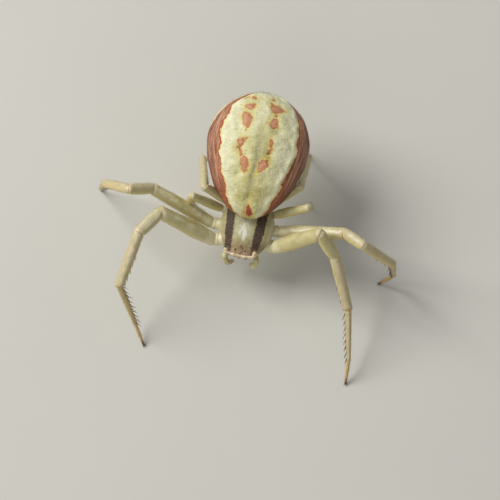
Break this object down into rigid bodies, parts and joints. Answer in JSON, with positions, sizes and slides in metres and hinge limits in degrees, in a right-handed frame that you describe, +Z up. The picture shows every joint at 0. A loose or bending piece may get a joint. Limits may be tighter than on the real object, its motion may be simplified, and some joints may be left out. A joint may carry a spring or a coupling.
{
  "type": "crab spider",
  "caption": "Life-size crab spider standing with its front legs spread, with a broad egg-shaped abdomen above a round flat carapace.",
  "frame": {"origin": "on the floor, under the middle of the model's box", "axes": "+Z up, +Y towards the rear of the abdomen, +X towards the side where the front leg reaches furthest forward"},
  "size_m": [0.0113, 0.0108, 0.0048],
  "materials": {
    "carapace": "smooth pale greenish cream cuticle with two dark brown bands and a chalk-white front ridge",
    "abdomen": "soft satin pale yellow skin with red-brown side bands and blotches",
    "leg": "translucent greenish cream cuticle, satin, darker spines",
    "jaw": "satin tan cuticle",
    "eye": "glossy black lens"
  },
  "bodies": {
    "root": {"abdomen": "abdomen", "chelicera_left": "jaw", "chelicera_right": "jaw", "eye_left_front_inner": "eye", "eye_left_front_outer": "eye", "eye_left_rear_inner": "eye", "eye_left_rear_outer": "eye", "eye_right_front_inner": "eye", "eye_right_front_outer": "eye", "eye_right_rear_inner": "eye", "eye_right_rear_outer": "eye", "leg_left_1_coxa": "leg", "leg_left_1_femur": "leg", "leg_left_1_foot": "leg", "leg_left_1_patella": "leg", "leg_left_1_tibia": "leg", "leg_left_2_coxa": "leg", "leg_left_2_femur": "leg", "leg_left_2_foot": "leg", "leg_left_2_patella": "leg", "leg_left_2_tibia": "leg", "leg_left_3_coxa": "leg", "leg_left_3_femur": "leg", "leg_left_3_foot": "leg", "leg_left_3_patella": "leg", "leg_left_3_tibia": "leg", "leg_left_4_coxa": "leg", "leg_left_4_femur": "leg", "leg_left_4_foot": "leg", "leg_left_4_patella": "leg", "leg_left_4_tibia": "leg", "leg_right_1_coxa": "leg", "leg_right_1_femur": "leg", "leg_right_1_foot": "leg", "leg_right_1_patella": "leg", "leg_right_1_tibia": "leg", "leg_right_2_coxa": "leg", "leg_right_2_femur": "leg", "leg_right_2_foot": "leg", "leg_right_2_patella": "leg", "leg_right_2_tibia": "leg", "leg_right_3_coxa": "leg", "leg_right_3_femur": "leg", "leg_right_3_foot": "leg", "leg_right_3_patella": "leg", "leg_right_3_tibia": "leg", "leg_right_4_coxa": "leg", "leg_right_4_femur": "leg", "leg_right_4_foot": "leg", "leg_right_4_patella": "leg", "leg_right_4_tibia": "leg", "palp_left": "leg", "palp_right": "leg", "pedicel": "carapace", "prosoma": "carapace", "spinnerets": "abdomen"}
  },
  "joints": []
}
